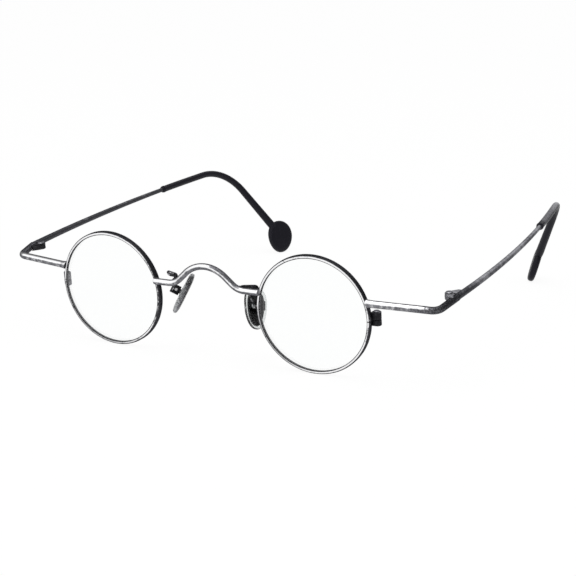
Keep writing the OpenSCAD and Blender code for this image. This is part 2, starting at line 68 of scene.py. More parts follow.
rims = {
    "centreX": 32.85, "wrap": 2.21, "lensRadius": 16.5, "gap": 0.05, "wall": 0.52,
    "grooveDepth": 0.33, "grooveSpread": 1.15, "depth": 1.9, "round": 0.48, "inner": 0.2,
    "split": 0.3, "waves": ((0.012, 7, 1.3), (0.008, 23, 0)), "wavesPast": 0.6,
    "footInset": 0.2, "around": 320, "cornerSteps": 9, "sharp": 38,
}
grooveRadius = rims["lensRadius"] + rims["gap"]
rimRadius = grooveRadius + rims["wall"]
lipRadius = grooveRadius - rims["grooveDepth"]

bridgeWire = {
    "wire": 1.85, "footZ": 4.5, "rise": 5.95, "leftLift": 0.45, "rightSlope": 43,
    "leftSlope": 41, "topBend": 9.5, "footBend": 5.7, "ahead": 1.75, "footShort": 0.05,
    "endRound": 0.4, "solder": 0.2, "solderEnd": (0.9, 1.9), "solderBack": (-0.1, 0.8),
    "lap": (1.3, 1.9), "lapRise": 2, "sunk": 0.03,
}

endPieces = {
    "wire": 2.05, "rootZ": 5.1, "rootY": 0.1, "rootIn": 0.6, "cornerX": 68.1, "cornerY": 3.6,
    "cornerDrop": 0.3, "bend": 3, "rightLift": 0.35, "leftDrop": 0.7, "endOut": 0.1,
    "gap": 0.2, "endRound": 0.22, "solder": 0.16, "solderEnd": (0.2, 2.4), "sunk": 0.03,
}

temples = {
    "startOut": 1.9, "startY": 12.5, "startUp": 0.39, "bar": 90.2, "bow": 420, "splay": 2.53,
    "droop": 0.75, "wireFront": 1.9, "wireBack": 1.35, "core": 1.1, "coreShort": 6,
    "sleeveStart": 68.5, "sleeve": 2.1, "neckWire": 2.75, "hookRadius": 19,
    "hookAngle": 61.3, "hookLean": 22, "neck": 17.9, "paddleLength": 11.5,
    "paddleWidth": 10.3, "paddleThick": 2.4, "paddleTurn": 51, "paddleReach": 5.2,
    "paddleAside": 0.6, "paddleTwist": 8.9,
    "frontRings": ((0.01, 0.8), (0.05, 0.92), (0.14, 0.98)),  # length and share of radius
    "frontRound": 0.28, "barRings": 130, "coreStep": 0.03, "coreRings": 70, "around": 28,
}

barStart = np.array([
    endPieces["cornerX"] + temples["startOut"], temples["startY"],
    endPieces["rootZ"] + temples["startUp"]])
splay, droop = math.radians(temples["splay"]), math.radians(temples["droop"])
barAlong = np.array([
    math.sin(splay) * math.cos(droop), math.cos(splay) * math.cos(droop), -math.sin(droop)])
barIn = np.array([-math.cos(splay), math.sin(splay), 0])
hookTurn = math.radians(temples["hookAngle"])
hookLength = temples["hookRadius"] * hookTurn
tubeLength = temples["bar"] + hookLength + temples["neck"]


def templeFrame(s):
    # Centre line, direction, side and up of a temple at the lengths s from the hinge:
    # an arc of the radius bow, then an arc of the radius hookRadius in a plane that leans
    # inwards by hookLean, then a straight neck. Last come the way to the hook's centre and
    # the axis that it bends about.
    s = np.asarray(s, float)
    bow, hook = temples["bow"], temples["hookRadius"]
    a = np.minimum(s, temples["bar"])[:, None] / bow
    t = np.cos(a) * barAlong + np.sin(a) * barIn
    n = np.cos(a) * barIn - np.sin(a) * barAlong
    p = barStart + bow * (np.sin(a) * barAlong + (1 - np.cos(a)) * barIn)
    a = temples["bar"] / bow
    endAlong = math.cos(a) * barAlong + math.sin(a) * barIn
    endIn = math.cos(a) * barIn - math.sin(a) * barAlong
    lean = math.radians(temples["hookLean"])
    inward = math.sin(lean) * endIn - math.cos(lean) * np.cross(endAlong, endIn)
    axis = np.cross(endAlong, inward)
    past = np.maximum(s - temples["bar"], 0)[:, None]
    b = np.minimum(past / hook, hookTurn)
    hookAlong = np.cos(b) * endAlong + np.sin(b) * inward
    toCentre = np.cos(b) * inward - np.sin(b) * endAlong
    rest = np.maximum(past - hookLength, 0)
    hookPlace = p + hook * (np.sin(b) * endAlong + (1 - np.cos(b)) * inward) + rest * hookAlong
    onBar = (s <= temples["bar"])[:, None]
    side = np.where(onBar, n, math.sin(lean) * toCentre + math.cos(lean) * axis)
    up = np.where(onBar, np.cross(t, n), math.sin(lean) * axis - math.cos(lean) * toCentre)
    return np.where(onBar, p, hookPlace), np.where(onBar, t, hookAlong), side, up, toCentre, axis


neckEnd, neckAlong, neckSide, neckUp, neckToCentre, hookAxis = [
    v[0] for v in np.broadcast_arrays(*templeFrame([tubeLength]))]
twist, paddleTurn = math.radians(temples["paddleTwist"]), math.radians(temples["paddleTurn"])
paddleNormal = math.cos(twist) * hookAxis + math.sin(twist) * neckToCentre
paddleLong = math.cos(paddleTurn) * neckAlong + math.sin(paddleTurn) * np.cross(
    paddleNormal, neckAlong)
paddleWide = np.cross(paddleNormal, paddleLong)
paddleCentre = (neckEnd + temples["paddleReach"] * neckAlong
                + temples["paddleAside"] * paddleWide)


def paddleEnd(d):
    # farthest point of the paddle's ellipse in the direction d
    a, b = temples["paddleLength"] / 2 * paddleLong, temples["paddleWidth"] / 2 * paddleWide
    return paddleCentre + (a * (a @ d) + b * (b @ d)) / math.hypot(a @ d, b @ d)


# the lean at which the rims and the tips rest on the table, and the middle from front to back
tipLow = paddleEnd(np.array([0, 0, -1.0]))
footY = rims["depth"] / 2 - rims["footInset"]
restTilt = math.atan2(-rimRadius - tipLow[2], tipLow[1] - footY)
restUp = np.array([0, math.sin(restTilt), math.cos(restTilt)])
restBack = np.array([0, math.cos(restTilt), -math.sin(restTilt)])
lensZ = rimRadius * restUp[2] + footY * restUp[1]
frontY = (-(bridgeWire["ahead"] + bridgeWire["wire"] / 2) * restBack[1]
          + (bridgeWire["footZ"] + bridgeWire["rise"]) * restBack[2])
middleY = (frontY + paddleEnd(restBack) @ restBack) / 2
standing = turning(0, math.degrees(restTilt))


def placed(points, side=1):
    # drawn upright for +X in millimetres, mirrored by side and stood on the table
    p = np.asarray(points, float) * np.array([side, 1, 1])
    return (p @ standing.T + np.array([0, -middleY, lensZ])) * mm


def inRim(points):
    # from the lens's own frame, its axis along Y, to the upright frame
    return np.asarray(points, float) @ turning(2, rims["wrap"]).T + np.array(
        [rims["centreX"], 0, 0])


def meshPiece(name, vertices, faces, sharp=50):
    # An object of these vertices in metres, its faces turned outwards: the sum of
    # a . (b x c) / 6 over its triangles is its volume, which has to be above zero.
    v = np.asarray(vertices, float)
    tri = np.array([(f[0], f[k], f[k + 1]) for f in faces for k in range(1, len(f) - 1)])
    a, b, c = v[tri[:, 0]] - v[0], v[tri[:, 1]] - v[0], v[tri[:, 2]] - v[0]
    if np.einsum("ij,ij->i", a, np.cross(b, c)).sum() < 0:
        faces = [tuple(reversed(f)) for f in faces]
    mesh = bpy.data.meshes.new(name)
    mesh.from_pydata(v.tolist(), [], faces)
    mesh.shade_smooth()
    mesh.set_sharp_from_angle(angle=math.radians(sharp))
    mesh.update()
    piece = bpy.data.objects.new(name, mesh)
    bpy.context.scene.collection.objects.link(piece)
    return piece


def gridFaces(rows, columns):
    # quads of a grid whose columns run round: point j of row i is number i * columns + j
    i, j = np.meshgrid(np.arange(rows - 1), np.arange(columns), indexing="ij")
    here, beside = i * columns + j, i * columns + (j + 1) % columns
    quads = np.stack([here, beside, beside + columns, here + columns], -1)
    return quads.reshape(-1, 4).tolist()


def lathed(rows):
    # rows of rings, closed at both ends by a pole in the middle of the last ring
    n, m = rows.shape[:2]
    poles = np.stack([rows[0].mean(0), rows[-1].mean(0)])
    ring = np.arange(m)
    beside = (ring + 1) % m
    last = (n - 1) * m
    startFan = np.stack([np.full(m, n * m), beside, ring], -1).tolist()
    endFan = np.stack([np.full(m, n * m + 1), ring + last, beside + last], -1).tolist()
    return np.concatenate([rows.reshape(-1, 3), poles]), gridFaces(n, m) + startFan + endFan


def joined(*parts):
    # several closed shells as one list of vertices and faces
    vertices, faces, count = [], [], 0
    for v, f in parts:
        faces += [tuple(int(k) + count for k in face) for face in f]
        vertices.append(v)
        count += len(v)
    return np.concatenate(vertices), faces


def cornerArc(before, corner, after, radius, steps):
    # the arc of the given radius that replaces a corner
    a, b = unit(corner - before), unit(after - corner)
    turn = math.acos(np.clip(a @ b, -1, 1))
    m = unit(b - a * (a @ b))
    centre = corner - a * radius * math.tan(turn / 2) + m * radius
    k = np.linspace(0, turn, steps)[:, None]
    return centre + radius * (a * np.sin(k) - m * np.cos(k))


def bentLine(corners, bends, steps=48):
    # the line through the corners, each inner one bent to its radius
    c = [np.asarray(p, float) for p in corners]
    arcs = [cornerArc(*c[i:i + 3], bend, steps) for i, bend in enumerate(bends)]
    return np.concatenate([[c[0]], *arcs, [c[-1]]])


def spread(length, spacing, endRound):
    # lengths at which rings stand: close together over the rounded ends, even between them
    k = np.linspace(0, math.pi / 2, 7)[1:]
    end = endRound * (1 - np.cos(k))
    middle = np.linspace(endRound, length - endRound, max(int(length / spacing), 4))
    first = 0.02 * endRound  # the smallest ring, beside the pole
    return np.concatenate([
        [first], end[:-1], middle, length - end[::-1][1:], [length - first]])


def walked(line, s):
    # the points of a line at the lengths s from its start
    steps = np.linalg.norm(np.diff(line, axis=0), axis=1)
    at = np.concatenate([[0], np.cumsum(steps)])
    return np.stack([np.interp(s, at, line[:, k]) for k in range(3)], -1)


def lengthOf(line):
    # the sum of the distances from point to point
    return np.linalg.norm(np.diff(line, axis=0), axis=1).sum()


def sidesAlong(points, hint):
    # Two directions square to a line that don't twist along it: each one is the one before
    # less its part along the line.
    t = unit(np.gradient(points, axis=0))
    u = np.empty_like(t)
    u[0] = unit(hint - t[0] * (hint @ t[0]))
    for i in range(1, len(t)):
        u[i] = unit(u[i - 1] - t[i] * (u[i - 1] @ t[i]))
    return u, np.cross(t, u)


def roundedEnds(s, length, endRound):
    # 1 along a wire, falling to 0 as a quarter circle over its last endRound at each end
    near = np.clip(1 - np.minimum(s, length - s) / endRound, 0, 1)
    return np.sqrt(1 - near ** 2)


def fullTurn(steps):
    # the angles of so many equal steps round a circle, from 0
    return np.linspace(0, 2 * math.pi, steps, endpoint=False)


def carriedRound(r, h, a):
    # points at the radius r and the depth h of a lens's axis: (r cos a, -h, r sin a)
    return np.stack(np.broadcast_arrays(r * np.cos(a), -h, r * np.sin(a)), -1)


def wireRows(points, u, v, radius, around):
    # a ring of the given radius round each point: point + radius * (u cos a + v sin a)
    a = fullTurn(around)[None, :, None]
    return points[:, None] + radius[:, None, None] * (
        u[:, None] * np.cos(a) + v[:, None] * np.sin(a))


def roundWire(corners, bends, diameter, endRound, hint, spacing=0.25, around=28):
    # A bent wire with rounded ends: its rings, their lengths from its start, the whole
    # length and the rings' centres.
    line = bentLine(corners, bends)
    length = lengthOf(line)
    s = spread(length, spacing, endRound)
    p = walked(line, s)
    u, v = sidesAlong(p, np.asarray(hint, float))
    radius = diameter / 2 * roundedEnds(s, length, endRound)
    return wireRows(p, u, v, radius, around), s, length, p


def keptOut(rows, radius):
    # Points within the radius of a rim's axis are moved out to it, along the way from
    # the axis, so that a wire's end lies on the rim's outer face.
    centre = np.array([rims["centreX"], 0, 0])
    spin = turning(2, rims["wrap"])
    local = (rows - centre) @ spin
    reach = np.hypot(local[..., 0], local[..., 2])
    push = np.where(reach < radius, radius / np.maximum(reach, 0.001), 1)
    moved = local * np.stack([push, np.ones_like(push), push], -1)
    return moved @ spin.T + centre


def put(tree, kind, inputs=None, **settings):
    # a node of this kind, with its settings and its inputs, each a value or a socket
    node = tree.nodes.new(kind)
    for key, value in settings.items():
        setattr(node, key, value)
    for key, value in (inputs or {}).items():
        if isinstance(value, bpy.types.NodeSocket):
            tree.links.new(value, node.inputs[key])
        else:
            node.inputs[key].default_value = value
    return node


def sums(tree, operation, a, b, clamp=False):
    # a and b added, multiplied and so on
    node = put(tree, "ShaderNodeMath", {0: a, 1: b}, operation=operation, use_clamp=clamp)
    return node.outputs[0]


def between(tree, value, low, high, toLow=0.0, toHigh=1.0):
    # value carried smoothly from low..high to toLow..toHigh
    return put(tree, "ShaderNodeMapRange", {
        "Value": value, "From Min": low, "From Max": high, "To Min": toLow, "To Max": toHigh,
    }, interpolation_type="SMOOTHSTEP").outputs["Result"]


def towards(tree, vector, direction):
    # the cosine between two directions
    return put(tree, "ShaderNodeVectorMath", {0: vector, 1: direction},
               operation="DOT_PRODUCT").outputs["Value"]


def noise(tree, place, scale, detail=2.0, roughness=0.5, distortion=0.0):
    # cloudy noise that keeps near one half
    return put(tree, "ShaderNodeTexNoise", {
        "Vector": place, "Scale": scale, "Detail": detail, "Roughness": roughness,
        "Distortion": distortion}).outputs[0]


def bumped(tree, height, strength):
    # the normal of a surface raised by height times 0.02 mm
    return put(tree, "ShaderNodeBump", {
        "Height": height, "Strength": strength, "Distance": 0.02 * mm}).outputs[0]


def mixed(tree, factor, a, b):
    # the colour a where the factor is 0, b where it is 1
    return put(tree, "ShaderNodeMix", {0: factor, 6: a, 7: b}, data_type="RGBA").outputs[2]


def mixedShader(tree, factor, a, b):
    # the shader a where the factor is 0, b where it is 1
    return put(tree, "ShaderNodeMixShader", {0: factor, 1: a.outputs[0], 2: b.outputs[0]})


def newGroup(name, inputs, outputs):
    # an empty node group with these sockets, what it is given and what it puts out
    group = bpy.data.node_groups.new(name, "ShaderNodeTree")
    for label, kind, value in inputs:
        socket = group.interface.new_socket(label, in_out="INPUT", socket_type=kind)
        if value is not None:
            socket.default_value = value
    for label, kind in outputs:
        group.interface.new_socket(label, in_out="OUTPUT", socket_type=kind)
    given = group.nodes.new("NodeGroupInput").outputs
    return group, given, group.nodes.new("NodeGroupOutput").inputs


patinaShares = {"coarse": 0.45, "fine": 0.55, "limit": 0.72, "cover": 0.44}


def patinaGroup():
    # Dark oxide left in patches on a rubbed metal: coarse noise sets where the patches lie,
    # fine noise breaks them into specks, and where the two together pass a limit is oxide.
    # Cover, which also carries painted shade, lowers the limit, and Softness is how far to each
    # side of it the edges blur.
    g, given, made = newGroup("patinaAndShade", [
        ("Place", "NodeSocketVector", None), ("Patch Scale", "NodeSocketFloat", 700.0),
        ("Speck Scale", "NodeSocketFloat", 4200.0), ("Cover", "NodeSocketFloat", 0.4),
        ("Softness", "NodeSocketFloat", 0.12),
    ], [("Mask", "NodeSocketFloat"), ("Tone", "NodeSocketFloat")])
    coarse = noise(g, given["Place"], given["Patch Scale"], 4.0, 0.55)
    fine = noise(g, given["Place"], given["Speck Scale"], 6.0, 0.7)
    both = sums(g, "ADD", sums(g, "MULTIPLY", coarse, patinaShares["coarse"]),
                sums(g, "MULTIPLY", fine, patinaShares["fine"]))
    lowered = sums(g, "MULTIPLY", given["Cover"], patinaShares["cover"])
    limit = sums(g, "SUBTRACT", patinaShares["limit"], lowered)
    low = sums(g, "SUBTRACT", limit, given["Softness"])
    high = sums(g, "ADD", limit, given["Softness"])
    g.links.new(between(g, both, low, high), made["Mask"])
    g.links.new(fine, made["Tone"])
    return g


def scratchGroup():
    # Fine rubbing marks: noise stretched along one direction, as a tone, and as a height that
    # small dents are taken from where a slower noise is high.
    g, given, made = newGroup("rubbingMarks", [
        ("Place", "NodeSocketVector", None), ("Stretch", "NodeSocketVector", (1.0, 1.0, 1.0)),
        ("Scale", "NodeSocketFloat", 3000.0),
    ], [("Tone", "NodeSocketFloat"), ("Height", "NodeSocketFloat")])
    stretched = put(g, "ShaderNodeVectorMath", {0: given["Place"], 1: given["Stretch"]},
                    operation="MULTIPLY")
    fine = noise(g, stretched.outputs[0], given["Scale"], 5.0, 0.65)
    pits = put(g, "ShaderNodeTexVoronoi", {"Vector": given["Place"], "Scale": 5200.0})
    pit = between(g, pits.outputs["Distance"], 0.06, 0.24, 1.0, 0.0)
    some = between(g, noise(g, given["Place"], 900.0), 0.5, 0.62)
    dents = sums(g, "MULTIPLY", pit, some)
    g.links.new(fine, made["Tone"])
    g.links.new(sums(g, "SUBTRACT", fine, dents), made["Height"])
    return g


patinaAndShade = patinaGroup()
rubbingMarks = scratchGroup()


def emptyMaterial(name):
    # a material without nodes, and the tree that they go in
    material = bpy.data.materials.new(name)
    material.use_nodes = True
    material.node_tree.nodes.clear()
    return material, material.node_tree


def shown(tree, shader):
    # makes the shader the material's surface
    put(tree, "ShaderNodeOutputMaterial", {"Surface": shader.outputs[0]})


def lettingLampThrough(tree, shader, tint):
    # the shader, but clear of this tint to lamp light, so that the piece's shadow is pale
    clear = put(tree, "ShaderNodeBsdfTransparent", {"Color": tint})
    rays = put(tree, "ShaderNodeLightPath").outputs
    return mixedShader(tree, rays["Is Shadow Ray"], shader, clear)


def stretchOf(tree, along, start, end, amount=1.0):
    # amount on a stretch in millimetres, rising from 0 at its start, falling to 0 at its end
    rising = between(tree, along, start[0] * mm, start[1] * mm)
    falling = between(tree, along, end[0] * mm, end[1] * mm, amount, 0.0)
    return sums(tree, "MULTIPLY", rising, falling)


agedShadedShares = {"lowDimCover": 0.35, "deepShade": 0.25, "markScale": 0.8, "slowScale": 110.0}


def agedShadedMetal(name, look):
    # Metal with dark oxide, with painted highlight and painted shade drawn in the same dark mask,
    # which covers the sum of these: cover itself and its slow drift; shadeByFacing, a direction
    # lit as a painted highlight, the cosines between which painted shade comes back, and how
    # much; upper, a stretch along X painted dark on top as shade; coverStretches, ones dark all
    # round, or bare where below 0; lowDim, ones dimmed evenly up to a height; fade and corner,
    # places along Y and X past which it is darker too, as painted shade; brightPatch, a spot bare
    # out to a first radius, fading by a second. bright is bare metal, dark and middle the tones
    # of oxide and painted shade, clean and darkMetallic how metallic, shine and dull how rough
    # the two are, and edge tints what glances off.
    material, tree = emptyMaterial(name)
    place = put(tree, "ShaderNodeTexCoord").outputs
    facing = put(tree, "ShaderNodeSeparateXYZ", {0: place["Normal"]}).outputs
    where = put(tree, "ShaderNodeSeparateXYZ", {0: place["Object"]}).outputs
    cover = look["cover"]
    # painted highlight and painted shade: faces turned to a lit direction stay bright, others
    # darken
    if look.get("shadeByFacing"):
        direction, near, far, amount = look["shadeByFacing"]
        towardsLit = towards(tree, place["Normal"], direction)
        cover = sums(tree, "ADD", between(tree, towardsLit, near, far, 0.0, amount), cover)
    # painted shade: the top faces of a stretch along X are darkened
    if look.get("upper"):
        start, end, amount = look["upper"]
        onSlope = stretchOf(tree, where["X"], start, end)
        raised = between(tree, facing["Z"], 0.0, 0.5, 0.0, amount)
        cover = sums(tree, "ADD", sums(tree, "MULTIPLY", onSlope, raised), cover)
    # stretches along X with more dark cover, or less below 0; on the temple and hinge metals they
    # are painted shade, on the block and insert metals painted light
    for start, end, amount in look.get("coverStretches", []):
        cover = sums(tree, "ADD", stretchOf(tree, where["X"], start, end, amount), cover)
    # stretches along X dimmed evenly below a height
    lowDim = 0.0
    for start, end, amount, (low, high) in look.get("lowDim", []):
        below = between(tree, where["Z"], low * mm, high * mm, amount, 0.0)
        below = sums(tree, "MULTIPLY", stretchOf(tree, where["X"], start, end), below)
        lowDim = sums(tree, "ADD", below, lowDim)
    bright = look["bright"]
    if look.get("lowDim"):
        bright = mixed(tree, lowDim, bright, look["middle"])
        lowDimmed = sums(tree, "MULTIPLY", lowDim, agedShadedShares["lowDimCover"])
        cover = sums(tree, "ADD", lowDimmed, cover)
    slow = noise(tree, place["Object"], agedShadedShares["slowScale"])
    drift = between(tree, slow, 0.3, 0.7, -look["drift"], look["drift"])
    cover = sums(tree, "ADD", drift, cover)
    # painted shade: darker past places along Y and X, in cover and in tone
    deep = 0.0
    for key, axis in (("fade", "Y"), ("corner", "X")):
        if look.get(key):
            start, end, amount = look[key]
            back = between(tree, where[axis], start * mm, end * mm, 0.0, amount)
            cover = sums(tree, "ADD", back, cover)
            deep = sums(tree, "ADD", back, deep)
    # a spot with less dark cover; on the pad inserts it is a painted highlight
    if look.get("brightPatch"):
        spot, inner, outer, amount = look["brightPatch"]
        centre = [c * mm for c in spot]
        away = put(tree, "ShaderNodeVectorMath", {0: place["Object"], 1: centre},
                   operation="DISTANCE").outputs["Value"]
        bare = between(tree, away, inner * mm, outer * mm, amount, 0.0)
        cover = sums(tree, "SUBTRACT", cover, bare)
    spots = put(tree, "ShaderNodeGroup", {
        "Place": place["Object"], "Patch Scale": look["patch"],
        "Speck Scale": look["speck"], "Softness": look["soft"], "Cover": cover,
    }, node_tree=patinaAndShade).outputs
    marks = put(tree, "ShaderNodeGroup", {
        "Place": place["Object"], "Stretch": look.get("stretch", (1.0, 1.0, 1.0)),
        "Scale": look["speck"] * agedShadedShares["markScale"],
    }, node_tree=rubbingMarks).outputs
    mask = spots["Mask"]
    shade = sums(tree, "MULTIPLY", deep, agedShadedShares["deepShade"])
    tone = sums(tree, "SUBTRACT", between(tree, spots["Tone"], 0.32, 0.68), shade, True)
    oxideAndShade = mixed(tree, tone, look["dark"], look["middle"])
    rough = between(tree, mask, 0.0, 1.0, look["shine"], look["dull"])
    varied = between(tree, marks["Tone"], 0.3, 0.7, -0.04, 0.07)
    clean, darkMetallic = look.get("clean", 1.0), look.get("darkMetallic", 0.8)
    relief = sums(tree, "SUBTRACT", marks["Height"], mask)
    shown(tree, put(tree, "ShaderNodeBsdfPrincipled", {
        "Base Color": mixed(tree, mask, bright, oxideAndShade),
        "Roughness": sums(tree, "ADD", rough, varied),
        "Metallic": between(tree, mask, 0.0, 1.0, clean, darkMetallic),
        "Normal": bumped(tree, relief, look["bump"]), "Specular Tint": look["edge"]}))
    return material


def grey(value):
    # old nickel silver's grey: its dark tones are a little blue
    return (value, value, value + 0.12 * value * (1 - value), 1.0)


# painted highlight and painted shade: faces turned straight forward stay bright and the rounded
# edges darken
rimMetal = agedShadedMetal("rimMetal", {
    "bright": grey(0.88), "dark": grey(0.012), "middle": grey(0.07), "cover": 0.14, "drift": 0.14,
    "shadeByFacing": ((0.0, -1.0, 0.0), 0.985, 0.86, 0.92),
    "coverStretches": [((-21.0, -17.5), (-14.5, -13.5), 0.52), ((47.6, 48.6), (60, 61), 0.34)],
    "lowDim": [((-53, -52), (-40, -18), 0.56, (14, 20)), ((14, 15), (22, 33), 0.56, (14, 20))],
    "brightPatch": ((49.8, -65.2, 17.4), 1.2, 2.3, 0.72),
    "patch": 900.0, "speck": 3600.0, "soft": 0.08, "shine": 0.18, "dull": 0.4, "bump": 0.35,
    "darkMetallic": 0.85, "edge": grey(0.3)})
# painted highlight along the wire where it faces forward and up, with painted shade round it and
# on the top of the slope at +X
bridgeMetal = agedShadedMetal("bridgeMetal", {
    "bright": grey(0.88), "dark": grey(0.03), "middle": grey(0.26), "cover": 0.1, "drift": 0.1,
    "shadeByFacing": ((0.0, -0.866, 0.5), 0.95, 0.76, 0.63), "upper": ((0.0, 5.0), (8.5, 12.5), 0.9),
    "patch": 650.0, "speck": 3400.0, "soft": 0.1, "stretch": (0.35, 1.0, 1.0),
    "shine": 0.16, "dull": 0.38, "bump": 0.4, "edge": grey(0.25)})
# painted highlight along the wire where it faces forward and up, with painted shade round it, and
# painted shade growing back from the rim and towards the bend
endPieceMetal = agedShadedMetal("endPieceMetal", {
    "bright": grey(0.88), "dark": grey(0.03), "middle": grey(0.28), "cover": 0.1, "drift": 0.1,
    "shadeByFacing": ((0.0, -0.785, 0.62), 0.97, 0.83, 0.58), "fade": (-62.2, -59.0, 1.0),
    "corner": (61.0, 68.5, 1.1), "patch": 650.0, "speck": 3400.0, "soft": 0.1,
    "stretch": (0.35, 1.0, 1.0), "shine": 0.16, "dull": 0.38, "bump": 0.4, "edge": grey(0.25)})
# painted highlight on the top faces, painted shade over the whole right temple and towards the
# hinge
templeMetal = agedShadedMetal("templeMetal", {
    "bright": grey(0.42), "dark": grey(0.03), "middle": grey(0.12), "cover": 0.34, "drift": 0.12,
    "clean": 0.55, "shadeByFacing": ((0.0, 0.0, 1.0), 0.8, 0.1, 0.36),
    "coverStretches": [((-200, -190), (0, 1), 0.5)], "fade": (-38.0, -53.0, 0.5), "patch": 500.0,
    "speck": 3200.0, "soft": 0.2, "stretch": (1.0, 0.25, 1.0), "shine": 0.36, "dull": 0.44,
    "bump": 0.3, "darkMetallic": 0.7, "edge": grey(0.35)})
# painted highlight on the top faces, painted shade over the right hinge
hingeMetal = agedShadedMetal("hingeMetal", {
    "bright": grey(0.42), "dark": grey(0.008), "middle": grey(0.06), "cover": 0.3, "drift": 0.1,
    "clean": 0.4, "shadeByFacing": ((0.0, 0.0, 1.0), 0.95, 0.6, 0.32),
    "coverStretches": [((-200, -190), (-60, -58), 0.5)], "patch": 900.0, "speck": 3600.0,
    "soft": 0.2, "shine": 0.3, "dull": 0.45, "bump": 0.35, "edge": grey(0.4)})
# painted highlight on the top faces, painted light on the right closing block
blockMetal = agedShadedMetal("blockMetal", {
    "bright": grey(0.36), "dark": grey(0.008), "middle": grey(0.035), "cover": 0.72, "drift": 0.1,
    "clean": 0.4, "shadeByFacing": ((0.0, 0.0, 1.0), 0.95, 0.6, 0.5),
    "coverStretches": [((-60, -58), (-40, -38), -0.8)], "patch": 700.0, "speck": 3000.0,
    "soft": 0.26, "shine": 0.3, "dull": 0.45, "bump": 0.3, "edge": grey(0.4)})
# painted highlight on the screws' top faces
screwMetal = agedShadedMetal("screwMetal", {
    "bright": grey(0.5), "dark": grey(0.03), "middle": grey(0.1), "cover": 0.35, "drift": 0.1,
    "shadeByFacing": ((0.0, 0.0, 1.0), 0.9, 0.2, 0.3), "patch": 1400.0, "speck": 5200.0, "soft": 0.14,
    "shine": 0.22, "dull": 0.38, "bump": 0.3, "edge": grey(0.45)})
padScrewMetal = agedShadedMetal("padScrewMetal", {
    "bright": grey(0.9), "dark": grey(0.03), "middle": grey(0.1), "cover": 0.1, "drift": 0.1,
    "clean": 0.2, "patch": 1400.0, "speck": 5200.0, "soft": 0.14,
    "shine": 0.25, "dull": 0.4, "bump": 0.3, "edge": grey(0.45)})
armMetal = agedShadedMetal("armMetal", {
    "bright": grey(0.7), "dark": grey(0.01), "middle": grey(0.03), "cover": 0.74, "drift": 0.12,
    "patch": 900.0, "speck": 4200.0, "soft": 0.1, "shine": 0.15, "dull": 0.32, "bump": 0.35,
    "edge": grey(0.3)})
# painted light over the whole right insert and a painted highlight spot on the left one; faces
# turned to +X are painted dark as shade
insertMetal = agedShadedMetal("insertMetal", {
    "bright": grey(0.85), "dark": grey(0.006), "middle": grey(0.02), "cover": 0.95, "drift": 0.1,
    "clean": 0.05, "coverStretches": [((-200, -190), (0, 1), -0.85)],
    "shadeByFacing": ((-1.0, 0.0, 0.0), 0.1, -0.85, 0.85), "brightPatch": ((11.6, -60.2, 15.9), 0.6, 1.2, 2.1),
    "patch": 2600.0, "speck": 8000.0, "soft": 0.2, "shine": 0.25, "dull": 0.4, "bump": 0.3,
    "edge": grey(0.45)})
print("metals made")


def lensGlass():
    # clear lens: smooth glass with faint smears in its roughness
    material, tree = emptyMaterial("lensGlass")
    place = put(tree, "ShaderNodeTexCoord").outputs
    smear = noise(tree, place["Object"], 120.0, 5.0, distortion=0.6)
    glass = put(tree, "ShaderNodeBsdfPrincipled", {
        "Base Color": (0.985, 0.992, 0.99, 1.0), "IOR": 1.5, "Transmission Weight": 1.0,
        "Roughness": between(tree, smear, 0.55, 0.8, 0.0, 0.02)})
    shown(tree, lettingLampThrough(tree, glass, (1.0, 1.0, 1.0, 1.0)))
    return material


def groundEdge():
    # the lens's bevelled edge, left as it was ground: matt and unevenly dark
    material, tree = emptyMaterial("groundEdge")
    place = put(tree, "ShaderNodeTexCoord").outputs
    blotches = noise(tree, place["Object"], 900.0, 5.0)
    grit = noise(tree, place["Object"], 6000.0)
    shown(tree, put(tree, "ShaderNodeBsdfPrincipled", {
        "Base Color": mixed(tree, blotches, grey(0.01), grey(0.16)),
        "Roughness": between(tree, blotches, 0.3, 0.7, 0.6, 0.8),
        "Normal": bumped(tree, grit, 0.3)}))
    return material


def padSilicone():
    # Soft clear silicone, a little grey and cloudy, with a fine moulded skin. A point attribute
    # of the piece says where it is darkened as painted shade.
    material, tree = emptyMaterial("padSilicone")
    place = put(tree, "ShaderNodeTexCoord").outputs
    cloud = noise(tree, place["Object"], 420.0, 4.0)
    skin = noise(tree, place["Object"], 3800.0, 3.0)
    colour = mixed(tree, cloud, (0.64, 0.66, 0.66, 1.0), (0.84, 0.86, 0.85, 1.0))
    padShade = put(tree, "ShaderNodeAttribute", attribute_name="padShade").outputs["Fac"]
    soft = put(tree, "ShaderNodeBsdfPrincipled", {
        "Base Color": mixed(tree, padShade, colour, (0.22, 0.22, 0.24, 1.0)),
        "Roughness": between(tree, cloud, 0.3, 0.7, 0.1, 0.22), "IOR": 1.41,
        "Transmission Weight": 1.0, "Normal": bumped(tree, skin, 0.15)})
    shown(tree, lettingLampThrough(tree, soft, (0.8, 0.82, 0.82, 1.0)))
    return material


paintedSheen = {  # where the left sleeve's top carries a painted sheen, in millimetres, and how its top faces
    "sideX": (48, 52), "startY": (17.5, 20), "endY": (46, 52), "palerY": (27, 44),
    "direction": (0.1, -0.2, 0.97), "turnedUp": (0.25, 0.7),
}


